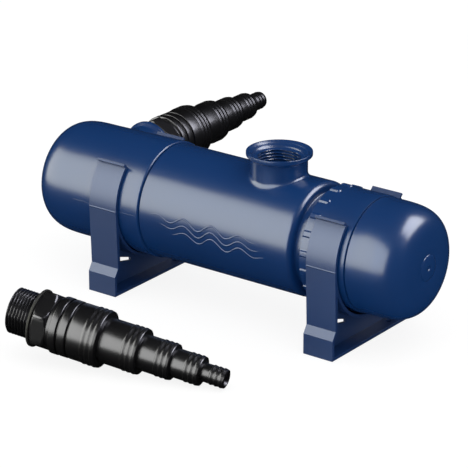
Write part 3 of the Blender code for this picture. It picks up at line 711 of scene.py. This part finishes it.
def build_sleeve_and_lamp():
    closed_x, mouth_x = low_x("quartz_sleeve"), high_x("quartz_sleeve")
    r, wall = 18.0, 1.6
    outer = [(r - 0.3, mouth_x), (r, mouth_x - 0.3)]
    outer += arc((0.0, closed_x + r), r, 0, -84, 14) + [(0.0, closed_x)]
    inner = [(r - wall, mouth_x - 0.3)] + arc((0.0, closed_x + r), r - wall, 0, -84, 14)
    inner += [(0.0, closed_x + wall)]
    sleeve = shell("sleeve_glass", outer, inner, QUARTZ)
    claim(sleeve, "lamp_head", "quartz", "quartz_sleeve")

    start, end = low_x("uv_lamp"), high_x("uv_lamp")
    leg = [(0.0, end), (6.0, end)] + [(6.0, start + 6.0)]
    for degrees in range(10, 81, 10):
        angle = math.radians(degrees)
        leg.append((6.0 * math.cos(angle), start + 5.0 - 5.0 * math.sin(angle)))
    leg += [(0.0, start)]
    lamp = turned("lamp_tubes", leg, at(0, -7.5, AXIS_Z, ALONG_X), LAMP_GLASS, steps=48)
    combine(lamp, turned("tool_leg", leg, at(0, 7.5, AXIS_Z, ALONG_X), LAMP_GLASS, steps=48), "UNION")
    bridge = [(0.0, 7.5), (2.2, 7.5), (2.2, -7.5), (0.0, -7.5)]
    bridge_axis = at(start + 10, 0, AXIS_Z, ALONG_Y)
    combine(lamp, turned("tool_bridge", bridge, bridge_axis, LAMP_GLASS, steps=32), "UNION")
    smooth(lamp)
    claim(lamp, "lamp_head", "lamp_glass", "uv_lamp")


def shell(name, outer, inner, material):
    """A cup with a closed far end: an outer wall from its mouth to its pole and an inner wall likewise."""
    steps = 96
    verts = []
    faces = []

    def rings(rows):
        made = []
        for radius, station in rows:
            if radius == 0.0:
                made.append([len(verts)])
                verts.append((0.0, 0.0, station * MM))
                continue
            made.append(list(range(len(verts), len(verts) + steps)))
            for j in range(steps):
                angle = 2 * math.pi * j / steps
                verts.append((radius * math.cos(angle) * MM, radius * math.sin(angle) * MM, station * MM))
        return made

    outside, inside = rings(outer), rings(inner)
    walls = [(a, b, False) for a, b in zip(outside, outside[1:])]
    walls += [(a, b, True) for a, b in zip(inside, inside[1:])]
    walls.append((inside[0], outside[0], False))
    for upper, lower, flip in walls:
        for j in range(steps):
            k = (j + 1) % steps
            if len(lower) == 1:
                face = (upper[j], lower[0], upper[k])
            else:
                face = (upper[j], lower[j], lower[k], upper[k])
            faces.append(tuple(reversed(face)) if flip else face)
    return finish_mesh(name, verts, faces, ON_AXIS, material)


def build_head_inside():
    rows = soften([(39.2, 103.8), (39.2, 98.6), (35.8, 98.6), (35.8, 95.0), (33.4, 95.0), (33.4, 91.0),
                   (35.8, 91.0), (35.8, 86.0), (23.5, 86.0), (23.5, 78.0), (18.4, 78.0), (18.4, 97.4),
                   (16.6, 97.4), (16.6, 103.8), (39.2, 103.8)], 0.35, 2)[1:-1]
    piece = turned("bulkhead", [(38.9, 103.8)] + rows, ON_AXIS, BLACK, steps=96)
    claim(piece, "lamp_head", "black_plastic", "head_bulkhead")

    def knurl(radius):
        return lambda angle: radius - 0.55 * (0.5 + 0.5 * math.cos(angle * 30)) ** 3
    nut = [(knurl(26.0), 84.0), (knurl(26.5), 83.4), (knurl(26.5), 74.4), (knurl(25.9), 73.6), (25.2, 73.0),
           (18.9, 73.0), (18.4, 73.5), (18.4, 75.0), (23.9, 75.0), (23.9, 84.0)]
    piece = turned("sleeve_clamp_nut", nut, ON_AXIS, BLACK, steps=240)
    claim(piece, "lamp_head", "black_plastic", "sleeve_nut")
    for name, node, radius, station, section in (("head_o_ring", "head_seal_ring", 34.85, 93.0, 1.1),
                                                 ("sleeve_o_ring", "sleeve_seal_ring", 19.7, 76.5, 1.2)):
        ring = turned(name, arc((radius, station), section, 90, -246, 14), ON_AXIS, RUBBER, steps=96)
        claim(ring, "lamp_head", "black_rubber", node)


# ---- Brackets ------------------------------------------------------------------------------------

def flat_plate(name, outline, thickness, matrix, material, holes=()):
    curve = bpy.data.curves.new(name, "CURVE")
    curve.dimensions = "2D"
    curve.fill_mode = "BOTH"
    curve.extrude = thickness / 2 * MM
    for loop in (outline, *holes):
        spline = curve.splines.new("POLY")
        spline.points.add(len(loop) - 1)
        for point, (x, y) in zip(spline.points, loop):
            point.co = (x * MM, y * MM, 0.0, 1.0)
        spline.use_cyclic_u = True
    guide = bpy.data.objects.new(name + "_outline", curve)
    bpy.context.scene.collection.objects.link(guide)
    bpy.context.view_layer.update()
    mesh = bpy.data.meshes.new_from_object(guide.evaluated_get(bpy.context.evaluated_depsgraph_get()))
    bpy.data.objects.remove(guide, do_unlink=True)
    shape = bmesh.new()
    shape.from_mesh(mesh)
    bmesh.ops.remove_doubles(shape, verts=shape.verts, dist=0.000001)
    bmesh.ops.recalc_face_normals(shape, faces=shape.faces)
    bmesh.ops.dissolve_limit(shape, angle_limit=0.001, verts=shape.verts, edges=shape.edges)
    shape.to_mesh(mesh)
    shape.free()
    obj = bpy.data.objects.new(name, mesh)
    obj.matrix_world = matrix
    bpy.context.scene.collection.objects.link(obj)
    mesh.materials.clear()
    mesh.materials.append(material)
    return obj


def build_bracket(node, body):
    x = middle(node).x / MM - MID_X
    width = (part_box(node)[1][0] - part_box(node)[0][0]) / MM
    centre = (0.0, AXIS_Z)
    clip_r, wall, foot_wall = 43.8, 2.2, 2.4
    out_r = clip_r + wall
    foot_y, foot_top, leg_y, leg_z = 48.1, 15.2, 44.45, 21.0
    end_deg = 42.0
    tip_deg = end_deg + 2.1
    crease = [(out_r - 0.02, AXIS_Z - 0.5), (out_r + 0.3, AXIS_Z - 0.2), (out_r + 0.3, AXIS_Z + 0.2)]
    half = [(foot_y, 0.0), (foot_y, foot_top), (leg_y, leg_z)] + crease + arc(centre, out_r, 0.7, end_deg, 24)
    half += arc(centre, out_r + 2.8, end_deg, tip_deg, 1) + arc(centre, clip_r, tip_deg, tip_deg, 1)[:1]
    half += arc(centre, clip_r, end_deg, -90.0, 60)
    outline = half + [(-y, z) for y, z in reversed(half[:-1])]
    leg_in = leg_y - foot_wall
    reach = math.degrees(math.acos((leg_in + 0.2) / out_r))
    window = [(foot_y - foot_wall, foot_wall), (foot_y - foot_wall, foot_top - 0.8), (leg_in, leg_z - 0.6)]
    window += arc(centre, out_r, -reach, -90.0, 36)
    window += [(-y, z) for y, z in reversed(window[:-1])]
    stand = Matrix.Rotation(math.pi / 2, 4, "Z") @ Matrix.Rotation(math.pi / 2, 4, "X")
    place = at(x, 0, 0, stand)
    bracket = flat_plate(f"{node}_clip", outline, width, place, CLIP_BLUE, [window])
    rib = [(-foot_y + 1.0, 1.2), (foot_y - 1.0, 1.2), (foot_y - 1.0, foot_top - 0.4), (leg_y - 1.2, leg_z)]
    rib += arc(centre, clip_r + 1.0, -18.0, -162.0, 40)
    rib += [(-leg_y + 1.2, leg_z), (-foot_y + 1.0, foot_top - 0.4)]
    slots = []
    for side in (-1, 1):
        slot = [(15.5, 15.8), (28.0, 18.5), (28.0, 22.3), (15.5, 18.2)]
        slots.append([(side * y, z) for y, z in slot])
    combine(bracket, flat_plate("tool_rib", rib, 2.4, place, CLIP_BLUE, slots), "UNION")
    for side in (-1, 1):
        hole = [(0.0, foot_wall + 2.0), (2.3, foot_wall + 2.0), (2.3, -2.0), (0.0, -2.0)]
        spot = at(x + side * 6.6, side * 30.0, 0)
        combine(bracket, turned("tool_hole", hole, spot, CLIP_BLUE, steps=32), "DIFFERENCE")
    round_edges(bracket, 0.35, 2)
    claim(bracket, body, "clip", node)


# ---- Hose adapters -------------------------------------------------------------------------------

def adapter_rows():
    """Outside rows from the tip to the thread end, then the bore back to the tip."""
    steps = ((49.0, 70.5, 20.1), (70.5, 99.0, 16.1), (99.0, 122.5, 12.7), (122.5, 143.5, 10.2),
             (143.5, 161.0, 6.6))
    rings = ((35.0, 40.4, 20.4), (41.8, 47.8, 20.2))
    bores = (13.6, 12.2, 9.4, 7.2, 4.6)
    hex_start, hex_end = 20.6, 32.0
    flat = 22.0 * math.cos(math.pi / 6)
    thread_r, thread_end = 16.3, 18.0
    _, tip_end, tip_r = steps[-1]
    rows = [(bores[-1] + 0.3, tip_end), (tip_r - 0.9, tip_end), (tip_r - 0.2, tip_end - 0.5)]
    for index in range(len(steps) - 1, -1, -1):
        start, end, radius = steps[index]
        barb_foot = end - 3 * 3.7
        for barb in (2, 1, 0):
            foot = end - (3 - barb) * 3.7
            top = radius + 0.5
            rows += [(radius, foot + 3.3), (radius + 0.12, foot + 2.6), (radius + 0.34, foot + 1.6),
                     (top, foot + 0.9), (top - 0.06, foot + 0.55), (radius + 0.22, foot + 0.25), (radius, foot)]
        rows += [(radius, barb_foot - 0.8), (radius, start + 0.8), (radius - 0.15, start + 0.25)]
        if index:
            rows += [(steps[index][2] + 0.1, start + 0.02), (steps[index - 1][2] - 0.9, start),
                     (steps[index - 1][2] - 0.25, start - 0.25)]
        else:
            rows += [(radius - 0.5, start), (18.7, start)]
    for start, end, radius in reversed(rings):
        rows += [(18.6, end + 0.15), (radius - 0.5, end), (radius - 0.1, end - 0.25), (radius, end - 0.8),
                 (radius, start + 0.8), (radius - 0.1, start + 0.25), (radius - 0.5, start),
                 (18.6, start - 0.15)]
    edge, chamfer = hexagon(flat, flat + 0.25), hexagon(flat, flat + 1.6)
    rows += [(18.5, hex_end + 0.2), (edge, hex_end), (chamfer, hex_end - 1.0), (hexagon(flat), hex_end - 2.0),
             (hexagon(flat), hex_start + 2.0), (chamfer, hex_start + 1.0), (edge, hex_start), (15.2, hex_start),
             (15.2, thread_end + 0.8)]
    rows_per_turn = 9
    count = int(thread_end / PITCH * rows_per_turn)
    for i in range(count + 1):
        station = thread_end - thread_end * i / count
        rows.append((thread_row(thread_r, 1.45, station, -1.2, thread_end + 1.2, fade=0.6), station))
    rows += [(14.6, 0.0), (bores[0] + 0.3, 0.0), (bores[0], 0.4)]
    for index, (_, end, _) in enumerate(steps[:-1]):
        rows += [(bores[index], end - 4.0), (bores[index + 1], end)]
    rows += [(bores[-1], tip_end - 0.3)]
    return rows


LOOSE_START = Vector((-78.0, -164.5, 31.6))
LOOSE_TIP = Vector((76.5, -127.5, 7.6))
LOOSE_TURN = (LOOSE_TIP - LOOSE_START).normalized().to_track_quat("Z", "Y").to_matrix().to_4x4()
LOOSE_AXIS = at(*LOOSE_START, LOOSE_TURN)


def adapter_matrix(node):
    """Where an adapter's own axis lies: the rear one in its port, the loose one on the floor."""
    if node == "rear_hose_adapter":
        return at(INLET_X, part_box(node)[0][1] / MM - AXIS_Y, AXIS_Z, ALONG_Y)
    return LOOSE_AXIS


def build_adapters():
    for node, body in (("rear_hose_adapter", "rear_adapter"), ("loose_hose_adapter", "loose_adapter")):
        name = node.replace("hose_", "") + "_body"
        piece = turned(name, adapter_rows(), adapter_matrix(node), ADAPTER_BLACK, steps=144, sharp_deg=50.0)
        claim(piece, body, "adapter_plastic", node)
    for node, owner, body in (("rear_adapter_gasket", "rear_hose_adapter", "rear_gasket"),
                              ("loose_adapter_gasket", "loose_hose_adapter", "loose_adapter")):
        section = [(18.0, 20.2), (20.6, 20.2), (20.6, 18.5), (16.0, 18.5), (16.0, 20.2), (18.0, 20.2)]
        rows = soften(section, 0.4, 3)[:-1]
        piece = turned(node.replace("adapter_", "") + "_ring", rows, adapter_matrix(owner), RUBBER, steps=96)
        claim(piece, body, "black_rubber", node)


# ---- CAD nodes that keep their own shape ---------------------------------------------------------

KEPT = {
    "sleeve_support": BLACK, "lamp_base": WHITE, "lamp_socket": WHITE, "socket_screw_1": STEEL,
    "socket_screw_2": STEEL, "ballast_tray": STEEL, "ballast": POTTING, "terminal_block": WHITE,
    "cable_gland_seal": RUBBER, "cap_seal_ring": RUBBER,
}


def finish_kept_nodes():
    for node, material in KEPT.items():
        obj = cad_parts[node]
        obj.data.materials.clear()
        obj.data.materials.append(material)


# ---- Studio --------------------------------------------------------------------------------------

CAMERA_AZIMUTH = math.radians(36.587)
CAMERA_HEIGHT = math.radians(21.675)
CAMERA_DISTANCE = 2.001
CAMERA_TARGET = at(-11.81, 0.0, 51.2).translation
LENS = 214.06


def build_camera():
    data = bpy.data.cameras.new("camera")
    data.lens = LENS
    data.sensor_width = 36.0
    data.clip_end = 20.0
    camera = bpy.data.objects.new("camera", data)
    back = Vector((math.sin(CAMERA_AZIMUTH) * math.cos(CAMERA_HEIGHT),
                   -math.cos(CAMERA_AZIMUTH) * math.cos(CAMERA_HEIGHT), math.sin(CAMERA_HEIGHT)))
    camera.location = CAMERA_TARGET + back * CAMERA_DISTANCE
    camera.rotation_euler = back.to_track_quat("Z", "Y").to_euler()
    bpy.context.scene.collection.objects.link(camera)
    bpy.context.scene.camera = camera


def soft_box(name, bearing_deg, rise_deg, distance, width, height, radiance, glossy, tint=(1.0, 1.0, 1.0)):
    """A soft box aimed at the object. The bearing runs from -Y towards +X. A glossy box shows in reflections
    only, and the others only light the surfaces, so that highlights and shading are set apart."""
    bearing, rise = math.radians(bearing_deg), math.radians(rise_deg)
    level = math.cos(rise)
    towards = Vector((math.sin(bearing) * level, -math.cos(bearing) * level, math.sin(rise)))
    data = bpy.data.lights.new(name, "AREA")
    data.shape = "RECTANGLE"
    data.size = width
    data.size_y = height
    data.energy = radiance * width * height * math.pi
    data.color = tint
    light = bpy.data.objects.new(name, data)
    light.location = Vector((0.0, 0.0, 0.065)) + towards * distance
    light.rotation_euler = towards.to_track_quat("Z", "Y").to_euler()
    light.visible_camera = False
    light.visible_glossy = glossy
    light.visible_diffuse = not glossy
    bpy.context.scene.collection.objects.link(light)


# Each pair is for bounced light, then for the camera
FLOOR_WHITE = (0.66, 0.20)
FLOOR_GLOW = (0.06, 0.87)
WORLD_FILL = 0.66
WORLD_GLOSS = 0.006


def build_floor():
    """A pale floor, white round the object: to the camera it glows, to bounced light it is plain paper."""
    size = 6.0
    mesh = bpy.data.meshes.new("floor")
    corners = [(-size, -size, 0), (size, -size, 0), (size, size, 0), (-size, size, 0)]
    mesh.from_pydata(corners, [], [(0, 1, 2, 3)])
    floor = bpy.data.objects.new("floor", mesh)
    floor.location.z = -0.0004
    floor.visible_glossy = False
    floor.visible_shadow = False
    bpy.context.scene.collection.objects.link(floor)
    paper = bpy.data.materials.new("pale_floor")
    paper.use_nodes = True
    nodes, links = paper.node_tree.nodes, paper.node_tree.links
    nodes.remove(nodes["Principled BSDF"])
    matte = nodes.new("ShaderNodeBsdfDiffuse")
    glow = nodes.new("ShaderNodeEmission")
    ray = nodes.new("ShaderNodeLightPath")
    for socket, levels in ((matte.inputs["Color"], FLOOR_WHITE), (glow.inputs["Strength"], FLOOR_GLOW)):
        level = nodes.new("ShaderNodeMapRange")
        level.inputs["To Min"].default_value, level.inputs["To Max"].default_value = levels
        links.new(ray.outputs["Is Camera Ray"], level.inputs["Value"])
        links.new(level.outputs["Result"], socket)
    both = nodes.new("ShaderNodeAddShader")
    links.new(matte.outputs["BSDF"], both.inputs[0])
    links.new(glow.outputs["Emission"], both.inputs[1])
    links.new(both.outputs["Shader"], nodes["Material Output"].inputs["Surface"])
    mesh.materials.append(paper)


def build_world():
    """White to the camera, even light on surfaces, and dark in reflections."""
    world = bpy.data.worlds.new("studio")
    bpy.context.scene.world = world
    world.use_nodes = True
    nodes, links = world.node_tree.nodes, world.node_tree.links
    nodes["Background"].inputs["Color"].default_value = (1.0, 1.0, 1.0, 1.0)
    ray = nodes.new("ShaderNodeLightPath")
    level = nodes.new("ShaderNodeMapRange")
    level.inputs["To Min"].default_value = WORLD_FILL
    level.inputs["To Max"].default_value = 1.0
    links.new(ray.outputs["Is Camera Ray"], level.inputs["Value"])
    mirror = nodes.new("ShaderNodeMix")
    links.new(ray.outputs["Is Glossy Ray"], mirror.inputs["Factor"])
    links.new(level.outputs["Result"], mirror.inputs["A"])
    mirror.inputs["B"].default_value = WORLD_GLOSS
    links.new(mirror.outputs["Result"], nodes["Background"].inputs["Strength"])


def build_studio():
    build_floor()
    build_world()
    soft_box("front_panel", -27.5, 19.5, 1.5, 3.05, 1.58, 7.0, glossy=True, tint=(1.0, 1.0, 0.86))
    soft_box("rim_panel", 120.0, 45.0, 1.2, 0.95, 0.95, 12.0, glossy=True)
    soft_box("front_fill", -34.0, 30.0, 1.5, 1.6, 1.2, 0.3, glossy=False)
    soft_box("top_fill", 60.0, 60.0, 1.5, 1.4, 1.4, 0.9, glossy=False)
    bpy.context.scene.view_settings.view_transform = "Standard"


build_camera()
build_main_tube()
build_wave_relief()
build_inlet_cap()
build_parting_lines()
build_collar()
build_cover()
build_gland()
build_sleeve_and_lamp()
build_head_inside()
build_bracket("left_bracket", "left_clip")
build_bracket("right_bracket", "right_clip")
build_adapters()
finish_kept_nodes()
build_studio()
